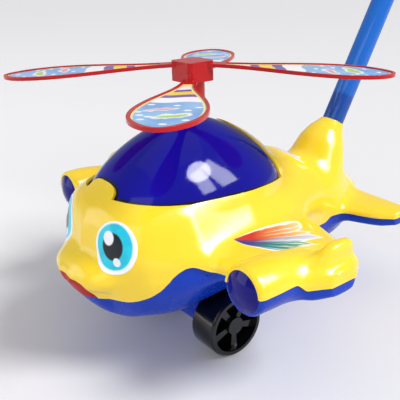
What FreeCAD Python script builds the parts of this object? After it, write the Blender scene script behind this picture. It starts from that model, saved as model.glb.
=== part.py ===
import FreeCAD, Part
import math
import os
import Sketcher
from FreeCAD import Matrix, Placement, Rotation, Vector

# Push-along toy aeroplane with a geared rotor. Millimetres, +Z up, nose towards -Y, port side +X.
# The origin is on the floor, straight below the rotor's axis.

DIMENSIONS = {
    # rotor
    "rotor_radius": 115.0,
    "blade_chord": 37.5,
    "blade_plate": 1.0,
    "rim_height": 2.0,
    "rim_width": 1.6,
    "hub_width": 19.0,
    "hub_height": 5.8,
    "hub_corner": 3.0,
    "lower_hub_z": 162.4,
    "upper_blade_lift": 2.4,
    "droop_angle": 3.4,
    "mast_radius": 7.0,
    "mast_bottom_z": 144.6,
    "rotor_shaft_radius": 1.5,
    "sticker_thickness": 0.25,
    "first_blade_angle": 45.3,
    # road wheels and axle
    "wheel_radius": 20.0,
    "wheel_width": 19.8,
    "wheel_inner_x": 27.7,
    "wheel_rim": 3.4,
    "wheel_hub_radius": 5.6,
    "wheel_recess": 9.0,
    "wheel_back_recess": 6.0,
    "spoke_width": 3.2,
    "axle_radius": 1.5,
    "axle_y": -7.7,
    "axle_half_length": 44.0,
    "running_clearance": 0.06,
    # tail roller
    "tail_y": 88.0,
    "tail_wheel_radius": 9.0,
    "tail_wheel_width": 12.0,
    "tail_axle_radius": 1.2,
    "tail_fork_gap": 13.2,
    "tail_fork_cheek": 2.4,
    # gears
    "crown_teeth": 20.0,
    "pinion_teeth": 10.0,
    "pinion_pitch_radius": 3.75,
    "spur_teeth": 10.0,
    "spur_height": 4.0,
    "spur_bottom_z": 32.6,
    "gear_pin_radius": 1.0,
    # shells
    "wall": 2.0,
    "wing_seam_z": 73.4,
    "pod_seam_z": 78.2,
    "fin_seam_z": 57.6,
    "screw_radius": 1.5,
    "screw_head_radius": 2.8,
    # engine pods
    "pod_x": 92.7,
    "pod_z": 77.7,
    "pod_front_y": -43.5,
    "lens_radius": 11.4,
    "lens_bulge": 3.5,
    # stick
    "stick_lean": 30.6,
    "stick_base_y": 126.5,
    "stick_base_z": 115.5,
    "stick_radius": 7.7,
    "stick_bore_radius": 6.5,
    "stick_socket_depth": 8.0,
    "stick_section": 216.0,
    "plug_above_boss": 20.0,
    "plug_below_boss": 26.0,
    "grip_radius": 10.4,
    "grip_length": 74.0,
}

# Fuselage stations: y, half width, height of the widest line, rise above it, drop below it, fullness.
FUSELAGE = (
    (-93.5, 4.0, 67.5, 3.0, 3.0, 2.0),
    (-91.5, 10.5, 67.5, 9.0, 8.5, 2.0),
    (-87.5, 18.0, 67.5, 18.0, 15.5, 2.1),
    (-82.0, 24.5, 67.5, 27.0, 22.0, 2.1),
    (-74.5, 32.0, 68.0, 36.0, 29.0, 2.2),
    (-63.0, 41.0, 69.0, 42.0, 36.0, 2.3),
    (-35.0, 51.0, 71.0, 46.0, 41.0, 2.6),
    (0.0, 51.0, 72.0, 45.0, 40.0, 2.6),
    (35.0, 43.0, 71.0, 39.0, 37.0, 2.4),
    (70.0, 32.0, 68.0, 34.0, 34.5, 2.3),
    (100.0, 24.0, 65.5, 28.0, 32.0, 2.2),
    (116.0, 20.0, 64.0, 23.5, 26.0, 2.2),
    (131.0, 15.0, 62.0, 18.5, 17.0, 2.1),
    (146.0, 5.0, 60.0, 6.0, 5.0, 2.0),
)

# Rounded swellings on the fuselage, as middle and radii: a brow over each eye, a muzzle, the spine.
BROW = (Vector(19, -67, 93), (17.5, 14.0, 15.5))
MUZZLE = (Vector(9, -80.5, 68), (16.5, 13.5, 9.5))
SPINE = (Vector(0, 44, 84), (25.0, 36.0, 29.0))

# Wing stations: x, leading edge y, trailing edge y, middle height, half thickness.
WING = (
    (30.0, -38.0, 53.0, 74.4, 9.6),
    (60.0, -36.0, 46.0, 74.4, 8.4),
    (92.0, -24.0, 34.0, 74.4, 7.2),
    (106.0, -14.0, 27.0, 74.8, 6.4),
    (113.0, -4.0, 18.0, 76.5, 4.4),
)

# Tail fin stations, in the same order.
TAIL_FIN = (
    (8.0, 97.0, 147.0, 58.0, 7.0),
    (30.0, 107.0, 146.0, 57.6, 6.0),
    (54.0, 117.0, 144.5, 57.8, 4.8),
    (60.5, 124.0, 139.0, 58.2, 3.4),
)

# Fullness of a wing section above and below its middle: the underside is boxier.
SECTION_POWER = (0.85, 0.6)

# Winglet, the upturned tip of a wing: middle, radii, outward lean in degrees, share kept below the middle.
WINGLET_MIDDLE = Vector(102.5, 6.5, 78)
WINGLET_RADII = (5.0, 14.0, 17.0)
WINGLET_LEAN = 16.0
WINGLET_FOOT = 2.0

# Engine pod outline behind its lens: distance behind the front rim, radius.
POD = ((0.0, 13.2), (3.0, 13.8), (11.0, 13.9), (27.0, 12.4), (47.0, 9.0), (67.0, 2.5))

# Outline of the turret that holds the stick: depth below its mouth, radius.
BOSS = ((0.0, 9.2), (3.0, 10.3), (9.0, 12.9), (17.0, 16.2), (24.0, 18.6), (31.0, 20.4), (45.0, 22.6),
        (52.0, 23.2))
BOSS_WALL = 2.8

# Seam between the two shells on the fuselage sides: y, z.
SEAM = (
    (-110.0, 62.5), (-92.0, 60.5), (-85.0, 55.5), (-79.0, 53.8), (-73.0, 54.2), (-65.5, 58.3),
    (-57.0, 66.5), (-50.0, 73.2), (-43.0, 75.6), (-34.0, 75.2), (0.0, 75.0), (36.0, 75.0), (50.0, 70.0),
    (62.0, 60.0), (76.0, 54.6), (108.0, 54.0), (160.0, 54.0),
)
WING_SEAM_X = 56.0
POD_SEAM_X = 79.0
POD_SEAM_BACK_Y = -17.0
FIN_SEAM_X = 20.0
FIN_SEAM_Y = 94.0

# Canopy: middle y, base z, half width, half length, height, fullness in plan, fullness in height.
CANOPY = (-7.0, 99.0, 43.5, 64.0, 44.5, 2.24, 1.5)
CANOPY_LEVELS = (-14.0, -7.0, 0.0, 8.0, 17.0, 26.0, 33.0, 38.5, 42.0, 43.6)
TAB_MIDDLE = Vector(0, -69, 110)
TAB_RADIUS = 6.5
TAB_DEPTH = 7.0

# Mouth opening: half width, lower and upper edge, and how deep the lips sit under the face.
MOUTH_HALF_WIDTH = 19.0
MOUTH_Z = (62.5, 70.5)
LIP_DEPTH = (0.6, 4.0)

# Blade outline: share of the rotor radius, share of the half chord.
BLADE = ((0.07, 0.24), (0.17, 0.24), (0.30, 0.37), (0.45, 0.66), (0.60, 0.91), (0.73, 1.0),
         (0.86, 0.88), (0.95, 0.56))

# Screws that hold the two shells together: x, y, height of the head's underside.
SHELL_SCREWS = ((28.0, -50.0, 42.0), (15.0, 62.0, 46.0))
SHELL_SCREW_LENGTH = 30.0
POST_RADIUS = 4.6

POST_Z = (20.0, 112.0)

# Drive housing under the belly: a trough around the axle, with a round bay for the rotor's gear.
HOUSING_HALF_WIDTH = 25.5
HOUSING_RADIUS = 11.0
HOUSING_TOP = 44.0
GEAR_BAY_RADIUS = 7.2
GEAR_BAY_BOTTOM = 28.4
WELL_RADIUS = 23.0
WELL_INNER_X = 26.5
FORK_EYE_RADIUS = 6.0
FORK_TOP = 46.0

# Plate above the axle that holds the gears: height, reach to front and back, screws.
FRAME_BOTTOM_Z = 38.0
FRAME_THICKNESS = 3.0
FRAME_HALF_WIDTH = 13.0
FRAME_FRONT_Y = 5.2
FRAME_BACK_Y = -17.2
PAD_DEPTH = 5.0
PAD_HEIGHT = 5.0
FRAME_SCREW_X = 9.0
FRAME_SCREW_RADIUS = 1.1
FRAME_SCREW_BITE = 3.5

# Tube inside the roof that steadies the rotor shaft.
SHAFT_TUBE_RADIUS = 4.0
SHAFT_TUBE_Z = (104.0, 118.0)

doc = FreeCAD.newDocument("toy_airplane")
sheet = doc.addObject("Spreadsheet::Sheet", "dims")
for row, (alias, number) in enumerate(DIMENSIONS.items(), start=1):
    sheet.set(f"A{row}", alias)
    sheet.set(f"B{row}", str(number))
    sheet.setAlias(f"B{row}", alias)
doc.recompute()


class Size:
    """A length or angle: its number now, and the spreadsheet expression that gives it."""

    def __init__(self, value, text):
        self.value = float(value)
        self.text = text

    def combine(self, other, sign, value):
        return Size(value, f"({self.text} {sign} {as_size(other).text})")

    def __add__(self, other):
        return self.combine(other, "+", self.value + as_size(other).value)

    def __sub__(self, other):
        return self.combine(other, "-", self.value - as_size(other).value)

    def __mul__(self, other):
        return self.combine(other, "*", self.value * as_size(other).value)

    def __neg__(self):
        return self * -1


def as_size(value):
    return value if isinstance(value, Size) else Size(value, f"{float(value):.6f}")


def dim(alias):
    return Size(sheet.get(alias), f"dims.{alias}")


def number(alias):
    return float(sheet.get(alias))


WALL = number("wall")
AXLE = Vector(0, number("axle_y"), number("wheel_radius"))
ALONG_X = Rotation(Vector(0, 1, 0), 90)
STICK_TURN = Rotation(Vector(1, 0, 0), -number("stick_lean"))
STICK_BASE = Vector(0, number("stick_base_y"), number("stick_base_z"))

kept = {}


def keep(label, item):
    """Name a finished sub-part, so that it is checked and written to its own file."""
    item.Label = label
    kept[label] = item
    return item


def bind(item, **sizes):
    for name, value in sizes.items():
        item.setExpression(name, as_size(value).text)
    return item


def place(item, x=0, y=0, z=0, turn=None):
    item.Placement = Placement(Vector(0, 0, 0), turn or Rotation())
    bind(item, **{"Placement.Base.x": x, "Placement.Base.y": y, "Placement.Base.z": z})
    return item


def cylinder(name, radius, height, x=0, y=0, z=0, turn=None):
    item = bind(doc.addObject("Part::Cylinder", name), Radius=radius, Height=height)
    return place(item, x, y, z, turn)


def box(name, length, width, height, x=0, y=0, z=0):
    item = bind(doc.addObject("Part::Box", name), Length=length, Width=width, Height=height)
    return place(item, x, y, z)


def cut(name, base, tool):
    item = doc.addObject("Part::Cut", name)
    item.Base = base
    item.Tool = tool
    return item


def fuse(name, items):
    item = doc.addObject("Part::MultiFuse", name)
    item.Shapes = items
    return item


def solid_feature(name, shape, placement=None):
    item = doc.addObject("Part::Feature", name)
    item.Shape = shape
    if placement:
        item.Placement = placement
    return item


def profile_sketch(body, name, plane, points):
    """A closed outline of straight lines; each corner's distances from the axes are bound."""
    sketch = body.newObject("Sketcher::SketchObject", name)
    planes = {feature.Role: feature for feature in body.Origin.OriginFeatures}
    sketch.AttachmentSupport = [(planes[plane], "")]
    sketch.MapMode = "FlatFace"
    corners = [(as_size(across), as_size(along)) for across, along in points]
    flat = [Vector(across.value, along.value, 0) for across, along in corners]
    for start, end in zip(flat, flat[1:] + flat[:1]):
        sketch.addGeometry(Part.LineSegment(start, end), False)
    for index in range(len(corners)):
        following = (index + 1) % len(corners)
        sketch.addConstraint(Sketcher.Constraint("Coincident", index, 2, following, 1))
    for index, (across, along) in enumerate(corners):
        for kind, axis, size in (("DistanceX", -2, across), ("DistanceY", -1, along)):
            if abs(size.value) < 1e-9:
                sketch.addConstraint(Sketcher.Constraint("PointOnObject", index, 1, axis))
                continue
            ends = (-1, 1, index, 1) if size.value > 0 else (index, 1, -1, 1)
            length = size if size.value > 0 else -size
            constraint = sketch.addConstraint(Sketcher.Constraint(kind, *ends, length.value))
            sketch.setExpression(f"Constraints[{constraint}]", length.text)
    return sketch


def turned_body(label, points):
    """A body turned on a lathe about its own Z axis: points are (radius, height)."""
    body = doc.addObject("PartDesign::Body", label)
    sketch = profile_sketch(body, label + "_profile", "XZ_Plane", points)
    turning = body.newObject("PartDesign::Revolution", label + "_turning")
    turning.Profile = sketch
    turning.ReferenceAxis = (sketch, ["V_Axis"])
    turning.Angle = 360
    body.Tip = turning
    return body


# ---------------------------------------------------------------- curved shapes

def oval(y, half_width, middle, rise, drop, fullness, inset=0.0):
    """A closed cross-section of the fuselage at one station, shrunk by inset."""
    points = []
    steps = 28
    for step in range(steps):
        angle = 2 * math.pi * step / steps
        across, up = math.cos(angle), math.sin(angle)
        reach = (rise if up > 0 else drop) - inset
        x = (half_width - inset) * math.copysign(abs(across) ** (2 / fullness), across)
        z = middle + reach * math.copysign(abs(up) ** (2 / fullness), up)
        points.append(Vector(x, y, z))
    curve = Part.BSplineCurve()
    curve.interpolate(points, PeriodicFlag=True)
    return Part.Wire([curve.toShape()])


def fuselage(inset=0.0):
    stations = [row for row in FUSELAGE if min(row[1], row[3], row[4]) > inset + 1.5]
    wires = [oval(*row, inset) for row in stations]
    return Part.makeLoft(wires, True, False)


def blade_section(x, leading, trailing, middle, half_thickness, inset=0.0):
    """A closed oval wing section in the plane at x."""
    points = []
    steps = 20
    half_chord = (trailing - leading) / 2 - inset
    for step in range(steps):
        angle = 2 * math.pi * step / steps
        along, up = math.cos(angle), math.sin(angle)
        y = (trailing + leading) / 2 + half_chord * math.copysign(abs(along) ** SECTION_POWER[0], along)
        power = SECTION_POWER[0] if up > 0 else SECTION_POWER[1]
        z = middle + (half_thickness - inset) * math.copysign(abs(up) ** power, up)
        points.append(Vector(x, y, z))
    curve = Part.BSplineCurve()
    curve.interpolate(points, PeriodicFlag=True)
    return Part.Wire([curve.toShape()])


def wing_loft(stations, inset=0.0):
    port = Part.makeLoft([blade_section(*row, inset) for row in stations], True, False)
    return port, port.mirror(Vector(0, 0, 0), Vector(1, 0, 0))


def stretched_ball(middle, radii):
    ball = Part.makeSphere(1.0)
    stretch = Matrix()
    stretch.scale(*radii)
    stretched = ball.transformGeometry(stretch)
    stretched.translate(middle)
    return stretched


def pod(side, inset=0.0):
    """An engine pod: a turned teardrop with its open end towards the nose."""
    front = number("pod_front_y")
    points = [Vector(0, radius - inset, distance) for distance, radius in POD if radius > inset + 1]
    curve = Part.BSplineCurve()
    curve.interpolate(points)
    start, end = points[0], points[-1]
    edges = [
        Part.makeLine(Vector(0, 0, start.z), start),
        curve.toShape(),
        Part.makeLine(end, Vector(0, 0, end.z)),
        Part.makeLine(Vector(0, 0, end.z), Vector(0, 0, start.z)),
    ]
    teardrop = Part.Face(Part.Wire(edges)).revolve(Vector(0, 0, 0), Vector(0, 0, 1), 360)
    teardrop.Placement = Placement(
        Vector(side * number("pod_x"), front, number("pod_z")), Rotation(Vector(1, 0, 0), -90))
    return teardrop


def winglet(side):
    """The upturned tip of a wing: a rounded tab that leans outwards."""
    wide, long, tall = WINGLET_RADII
    tab = stretched_ball(Vector(0, 0, 0), WINGLET_RADII)
    above = Part.makeBox(2 * wide, 2 * long, tall + WINGLET_FOOT, Vector(-wide, -long, -WINGLET_FOOT))
    tab = tab.common(above)
    middle = Vector(side * WINGLET_MIDDLE.x, WINGLET_MIDDLE.y, WINGLET_MIDDLE.z)
    tab.Placement = Placement(middle, Rotation(Vector(0, 1, 0), side * WINGLET_LEAN))
    return tab


def stick_frame(distance=0.0):
    """The placement whose +Z runs up the stick, at a distance beyond the boss's mouth."""
    return Placement(STICK_BASE + STICK_TURN.multVec(Vector(0, 0, distance)), STICK_TURN)


def boss(inset=0.0):
    """The rounded turret on the tail that holds the stick."""
    points = [Vector(radius - inset, 0, -depth) for depth, radius in BOSS]
    curve = Part.BSplineCurve()
    curve.interpolate(points)
    top, bottom = Vector(0, 0, points[0].z), Vector(0, 0, points[-1].z)
    edges = [Part.makeLine(top, points[0]), curve.toShape(), Part.makeLine(points[-1], bottom),
             Part.makeLine(bottom, top)]
    turret = Part.Face(Part.Wire(edges)).revolve(Vector(0, 0, 0), Vector(0, 0, 1), 360)
    turret.Placement = stick_frame()
    return turret


def canopy_dome(inset=0.0):
    middle, base, half_width, half_length, height, plan, lift = CANOPY
    wires = []
    for level in CANOPY_LEVELS:
        share = max(level, 0.0) / height
        scale = (1 - share ** lift) ** (1 / lift)
        points = []
        steps = 28
        for step in range(steps):
            angle = 2 * math.pi * step / steps
            across, along = math.cos(angle), math.sin(angle)
            x = (half_width * scale - inset) * math.copysign(abs(across) ** (2 / plan), across)
            y = (half_length * scale - inset) * math.copysign(abs(along) ** (2 / plan), along)
            points.append(Vector(x, middle + y, base + level - inset))
        curve = Part.BSplineCurve()
        curve.interpolate(points, PeriodicFlag=True)
        wires.append(Part.Wire([curve.toShape()]))
    usable = wires[:-1] if inset else wires
    return Part.makeLoft(usable, True, False)


def seam_block():
    """Everything below the seam between the upper and lower shells."""
    side_x, low, wing_reach, fin_reach = 60.0, -10.0, 130.0, 80.0
    curve = Part.BSplineCurve()
    curve.interpolate([Vector(-side_x, y, z) for y, z in SEAM])
    first, last = SEAM[0], SEAM[-1]
    corners = [Vector(-side_x, last[0], last[1]), Vector(-side_x, last[0], low),
               Vector(-side_x, first[0], low), Vector(-side_x, first[0], first[1])]
    edges = [curve.toShape()] + [Part.makeLine(a, b) for a, b in zip(corners, corners[1:])]
    block = Part.Face(Part.Wire(edges)).extrude(Vector(2 * side_x, 0, 0))
    wing_side = Part.makeBox(wing_reach - WING_SEAM_X, 170, number("wing_seam_z") - low,
                             Vector(WING_SEAM_X, -80, low))
    pod_side = Part.makeBox(wing_reach - POD_SEAM_X, 80 + POD_SEAM_BACK_Y, number("pod_seam_z") - low,
                            Vector(POD_SEAM_X, -80, low))
    fin_side = Part.makeBox(fin_reach - FIN_SEAM_X, 80, number("fin_seam_z") - low,
                            Vector(FIN_SEAM_X, FIN_SEAM_Y, low))
    return block.fuse(both_sides(wing_side) + both_sides(pod_side) + both_sides(fin_side))


def x_cylinder(radius, from_x, to_x, centre):
    return Part.makeCylinder(radius, to_x - from_x, Vector(from_x, centre.y, centre.z), Vector(1, 0, 0))


def both_sides(shape):
    return [shape, shape.mirror(Vector(0, 0, 0), Vector(1, 0, 0))]


# ---------------------------------------------------------------- shells

def housing(inset=0.0):
    """The gear housing around the axle: a half-round trough and a gear bay, open into the belly."""
    half = HOUSING_HALF_WIDTH - inset
    radius = HOUSING_RADIUS - inset
    top = HOUSING_TOP + inset
    trough = x_cylinder(radius, -half, half, AXLE)
    sides = Part.makeBox(2 * half, 2 * radius, top - AXLE.z, Vector(-half, AXLE.y - radius, AXLE.z))
    gear_bay = vertical_pin(GEAR_BAY_RADIUS - inset, 0, 0, GEAR_BAY_BOTTOM + inset, top)
    return trough.fuse([sides, gear_bay])


def wheel_wells(outset=0.0):
    return both_sides(x_cylinder(WELL_RADIUS + outset, WELL_INNER_X - outset, 70, AXLE))


def vertical_pin(radius, x, y, low, high):
    return Part.makeCylinder(radius, high - low, Vector(x, y, low))


def swellings(inset=0.0):
    """The brows, the muzzle and the spine behind the canopy."""
    balls = []
    for middle, radii in (BROW, MUZZLE):
        balls += both_sides(stretched_ball(middle, [radius - inset for radius in radii]))
    middle, radii = SPINE
    return [*balls, stretched_ball(middle, [radius - inset for radius in radii])]


def body_outside():
    """The whole aeroplane as one solid: fuselage, wings, fins, pods, face, spine and boss."""
    pieces = [*wing_loft(WING), *wing_loft(TAIL_FIN), pod(1), pod(-1), winglet(1), winglet(-1), boss(),
              *swellings()]
    return fuselage().fuse(pieces)


def body_inside():
    """The hollow of the aeroplane, one wall thickness inside the outer surface."""
    slim_fins = [row for row in TAIL_FIN if row[4] > WALL + 1]
    socket_floor = number("plug_below_boss") + 3
    plug_block = Part.makeCylinder(40, socket_floor, Vector(0, 0, -socket_floor))
    turret = boss(BOSS_WALL).cut(plug_block.transformed(stick_frame().toMatrix()))
    pieces = [*wing_loft(WING[:-1], WALL), *wing_loft(slim_fins, WALL), pod(1, WALL), pod(-1, WALL),
              *swellings(WALL), turret]
    return fuselage(WALL).fuse(pieces)


def screw_posts():
    return [vertical_pin(POST_RADIUS, side * x, y, *POST_Z)
            for x, y, head in SHELL_SCREWS for side in (1, -1)]


def frame_pads():
    """Two ledges in the belly that the gear frame is screwed to."""
    return [Part.makeBox(2 * FRAME_HALF_WIDTH, PAD_DEPTH, PAD_HEIGHT,
                         Vector(-FRAME_HALF_WIDTH, y, FRAME_BOTTOM_Z - PAD_HEIGHT))
            for y in (FRAME_BACK_Y - PAD_DEPTH, FRAME_FRONT_Y)]


def frame_screw_places():
    return [(x, y) for x in (-FRAME_SCREW_X, FRAME_SCREW_X)
            for y in (FRAME_BACK_Y - PAD_DEPTH / 2, FRAME_FRONT_Y + PAD_DEPTH / 2)]


def tail_fork():
    gap, cheek = number("tail_fork_gap"), number("tail_fork_cheek")
    centre = Vector(gap / 2, number("tail_y"), number("tail_wheel_radius"))
    eye = Part.makeCylinder(FORK_EYE_RADIUS, cheek, centre, Vector(1, 0, 0))
    leg = Part.makeBox(cheek, 2 * FORK_EYE_RADIUS, FORK_TOP - centre.z,
                       centre - Vector(0, FORK_EYE_RADIUS, 0))
    return both_sides(eye.fuse(leg))


def mouth_slot(grow=0.0):
    half = MOUTH_HALF_WIDTH + grow
    low, high = MOUTH_Z[0] - grow, MOUTH_Z[1] + grow
    return Part.makeBox(2 * half, 40, high - low, Vector(-half, -110, low))


def bore_tools():
    """Every hole through the shells: axle, tail axle, rotor shaft, stick socket and screws."""
    clearance = number("running_clearance")
    tail = Vector(0, number("tail_y"), number("tail_wheel_radius"))
    socket_depth, plug_depth = number("stick_socket_depth"), number("plug_below_boss")
    socket = Part.makeCylinder(number("stick_radius"), socket_depth + 10, Vector(0, 0, -socket_depth))
    plug = Part.makeCylinder(number("stick_bore_radius"), plug_depth + 10, Vector(0, 0, -plug_depth))
    tools = [
        x_cylinder(number("axle_radius") + clearance, -40, 40, AXLE),
        x_cylinder(number("tail_axle_radius"), -20, 20, tail),
        vertical_pin(number("rotor_shaft_radius") + clearance, 0, 0, 90, 130),
        socket.fuse(plug).transformed(stick_frame().toMatrix()),
    ]
    for x, y, head in SHELL_SCREWS:
        for side in (1, -1):
            tools.append(vertical_pin(number("screw_radius"), side * x, y, head, head + SHELL_SCREW_LENGTH))
            tools.append(vertical_pin(number("screw_head_radius") + 0.3, side * x, y, POST_Z[0], head))
    for x, y in frame_screw_places():
        tools.append(vertical_pin(FRAME_SCREW_RADIUS, x, y, FRAME_BOTTOM_Z - FRAME_SCREW_BITE,
                                  FRAME_BOTTOM_Z))
    return tools


def make_shells():
    outside = body_outside()
    hollow = body_inside().cut(wheel_wells(WALL) + screw_posts())
    hollow = hollow.cut(vertical_pin(SHAFT_TUBE_RADIUS, 0, 0, *SHAFT_TUBE_Z))
    skin = outside.cut(wheel_wells()).cut(hollow)
    under = housing().fuse(tail_fork()).cut([hollow, fuselage(WALL), housing(WALL)])
    skin = skin.cut(housing(WALL)).fuse([under, *[pad.common(fuselage()) for pad in frame_pads()]])
    tab = Part.makeCylinder(TAB_RADIUS, TAB_DEPTH, TAB_MIDDLE, Vector(0, 1, 0))
    skin = skin.fuse(tab.cut([canopy_dome(), fuselage(WALL)]))
    skin = skin.cut([mouth_slot(0.1), *bore_tools()])
    below = seam_block()
    halves = (skin.cut(below), skin.common(below))
    return outside, *[max(half.Solids, key=lambda solid: solid.Volume) for half in halves]


outside, upper_shape, lower_shape = make_shells()
keep("upper_shell", solid_feature("upper_shell", upper_shape))
keep("lower_shell", solid_feature("lower_shell", lower_shape))

shaft_opening = vertical_pin(number("rotor_shaft_radius") + 0.8, 0, 0, 120, 160)
canopy_shape = canopy_dome().cut([canopy_dome(WALL), outside, shaft_opening])
keep("canopy", solid_feature("canopy", canopy_shape))

lips_shape = fuselage(LIP_DEPTH[0]).cut(fuselage(LIP_DEPTH[1])).common(mouth_slot())
keep("mouth_lips", solid_feature("mouth_lips", lips_shape))


# ---------------------------------------------------------------- engine lenses

for side, label in ((1, "engine_lens_port"), (-1, "engine_lens_starboard")):
    radius, bulge = number("lens_radius"), number("lens_bulge")
    curve_radius = (radius ** 2 + bulge ** 2) / (2 * bulge)
    back_y = number("pod_front_y") + 2.5
    disc = cylinder(label + "_disc", dim("lens_radius"), 9, dim("pod_x") * side, back_y, dim("pod_z"),
                    Rotation(Vector(1, 0, 0), 90))
    ball = bind(doc.addObject("Part::Sphere", label + "_ball"), Radius=curve_radius)
    place(ball, dim("pod_x") * side, dim("pod_front_y") - (bulge - 0.5) + curve_radius, dim("pod_z"))
    lens = doc.addObject("Part::Common", label)
    lens.Base = disc
    lens.Tool = ball
    keep(label, lens)

# ---------------------------------------------------------------- road wheels and axle

SPOKES = 5
TREAD_CHAMFER = 1.2


def road_wheel(label):
    """A hollow moulded wheel: tread, web, hub with a blind bore, and spokes in the outer face."""
    outer, rim, hub = dim("wheel_radius"), dim("wheel_rim"), dim("wheel_hub_radius")
    width, recess, back = dim("wheel_width"), dim("wheel_recess"), dim("wheel_back_recess")
    bore_depth = dim("axle_half_length") - dim("wheel_inner_x")
    web_face = width - recess
    body = turned_body(label, [
        (dim("axle_radius"), 0), (hub, 0), (hub, back), (outer - rim, back), (outer - rim, 0),
        (outer - TREAD_CHAMFER, 0), (outer, TREAD_CHAMFER), (outer, width - TREAD_CHAMFER),
        (outer - TREAD_CHAMFER, width), (outer - rim, width), (outer - rim, web_face), (hub, web_face),
        (hub, width - 1), (0, width - 1), (0, bore_depth), (dim("axle_radius"), bore_depth),
    ])
    half = dim("spoke_width") * 0.5
    reach = outer - rim + 0.5
    sketch = profile_sketch(body, label + "_spoke", "XY_Plane", [
        (hub - 1, -half), (reach, -half * 1.6), (reach, half * 1.6), (hub - 1, half)])
    sketch.AttachmentOffset = Placement(Vector(0, 0, web_face.value - 1), Rotation())
    spoke = body.newObject("PartDesign::Pad", label + "_spoke_pad")
    spoke.Profile = sketch
    bind(spoke, Length=recess - 2)
    axes = {feature.Role: feature for feature in body.Origin.OriginFeatures}
    pattern = body.newObject("PartDesign::PolarPattern", label + "_spokes")
    pattern.Originals = [spoke]
    pattern.Axis = (axes["Z_Axis"], [""])
    pattern.Angle = 360
    pattern.Occurrences = SPOKES
    body.Tip = pattern
    return body


for side, label in ((1, "wheel_port"), (-1, "wheel_starboard")):
    turn = Rotation(Vector(0, 1, 0), 90 * side)
    keep(label, place(road_wheel(label), dim("wheel_inner_x") * side, dim("axle_y"),
                      dim("wheel_radius"), turn))

axle = cylinder("axle_rod", dim("axle_radius"), dim("axle_half_length") * 2,
                -dim("axle_half_length"), dim("axle_y"), dim("wheel_radius"), ALONG_X)
keep("axle", axle)

# ---------------------------------------------------------------- tail roller

roller_half = dim("tail_wheel_width") * 0.5
roller_radius = dim("tail_wheel_radius")
roller = turned_body("tail_roller", [
    (dim("tail_axle_radius") + dim("running_clearance"), 0), (roller_radius - 1, 0), (roller_radius, 1),
    (roller_radius, dim("tail_wheel_width") - 1), (roller_radius - 1, dim("tail_wheel_width")),
    (dim("tail_axle_radius") + dim("running_clearance"), dim("tail_wheel_width")),
])
keep("tail_wheel", place(roller, -roller_half, dim("tail_y"), roller_radius, ALONG_X))

tail_axle_half = dim("tail_fork_gap") * 0.5 + dim("tail_fork_cheek")
tail_axle = cylinder("tail_pin", dim("tail_axle_radius"), tail_axle_half * 2, -tail_axle_half,
                     dim("tail_y"), roller_radius, ALONG_X)
keep("tail_axle", tail_axle)

# ---------------------------------------------------------------- gears

CROWN_TOOTH = {"inner": 6.4, "outer": 8.5, "root_width": 0.9, "tip_width": 0.5}
CROWN_FACE_X = -4.9
CROWN_TIP_X = -2.95
PINION_Z = (25.9, 29.4)
LAY_GEAR_TOP_Z = 37.4


def toothed_disc(teeth, root, outer, root_width, tip_width, height, phase):
    """A straight-cut gear: a core with tapered teeth, one of them at the phase angle."""
    gear = Part.makeCylinder(root, height)
    corners = [Vector(root - 0.4, -root_width / 2, 0), Vector(outer, -tip_width / 2, 0),
               Vector(outer, tip_width / 2, 0), Vector(root - 0.4, root_width / 2, 0)]
    tooth = Part.Face(Part.makePolygon(corners + corners[:1])).extrude(Vector(0, 0, height))
    copies = []
    for index in range(teeth):
        copy = tooth.copy()
        copy.rotate(Vector(0, 0, 0), Vector(0, 0, 1), phase + index * 360 / teeth)
        copies.append(copy)
    return gear.fuse(copies)


def crown_gear():
    """A crown gear about the X axis whose teeth point to +X; one tooth is at the top."""
    disc = Part.makeCylinder(CROWN_TOOTH["outer"], 1.7, Vector(CROWN_FACE_X - 1.7, 0, 0), Vector(1, 0, 0))
    boss = Part.makeCylinder(3.2, 8, Vector(CROWN_FACE_X - 8, 0, 0), Vector(1, 0, 0))
    wide, slim = CROWN_TOOTH["root_width"] / 2, CROWN_TOOTH["tip_width"] / 2
    low = CROWN_TOOTH["inner"]
    corners = [Vector(CROWN_FACE_X - 0.3, -wide, low), Vector(CROWN_TIP_X, -slim, low),
               Vector(CROWN_TIP_X, slim, low), Vector(CROWN_FACE_X - 0.3, wide, low)]
    tooth = Part.Face(Part.makePolygon(corners + corners[:1])).extrude(
        Vector(0, 0, CROWN_TOOTH["outer"] - low - 0.05))
    teeth = int(number("crown_teeth"))
    copies = []
    for index in range(teeth):
        copy = tooth.copy()
        copy.rotate(Vector(0, 0, 0), Vector(1, 0, 0), index * 360 / teeth)
        copies.append(copy)
    bore = Part.makeCylinder(number("axle_radius"), 40, Vector(-20, 0, 0), Vector(1, 0, 0))
    return disc.fuse([boss, *copies]).cut(bore)


keep("axle_gear", solid_feature("crown", crown_gear(), Placement(AXLE, Rotation())))

spur_low, spur_height = number("spur_bottom_z"), number("spur_height")
spur_teeth, pinion_teeth = int(number("spur_teeth")), int(number("pinion_teeth"))
spur_half_step = 180 / spur_teeth
spur_pitch = -AXLE.y / 2


def spur(phase):
    gear = toothed_disc(spur_teeth, spur_pitch - 0.65, spur_pitch + 0.45, 1.25, 0.55, spur_height, phase)
    gear.translate(Vector(0, 0, spur_low))
    return gear


def lay_gear():
    """Pinion and spur gear moulded in one piece, on a fixed pin above the axle."""
    pitch = number("pinion_pitch_radius")
    pinion = toothed_disc(pinion_teeth, pitch - 0.95, pitch + 0.7, 1.2, 0.5, PINION_Z[1] - PINION_Z[0],
                          180 / pinion_teeth)
    pinion.translate(Vector(0, 0, PINION_Z[0]))
    core = vertical_pin(2.6, 0, 0, PINION_Z[0], LAY_GEAR_TOP_Z)
    flange = vertical_pin(pitch + 0.7, 0, 0, PINION_Z[1], PINION_Z[1] + 0.8)
    bore = vertical_pin(number("gear_pin_radius") + number("running_clearance"), 0, 0, 0, 60)
    return pinion.fuse([core, flange, spur(spur_half_step)]).cut(bore)


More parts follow.
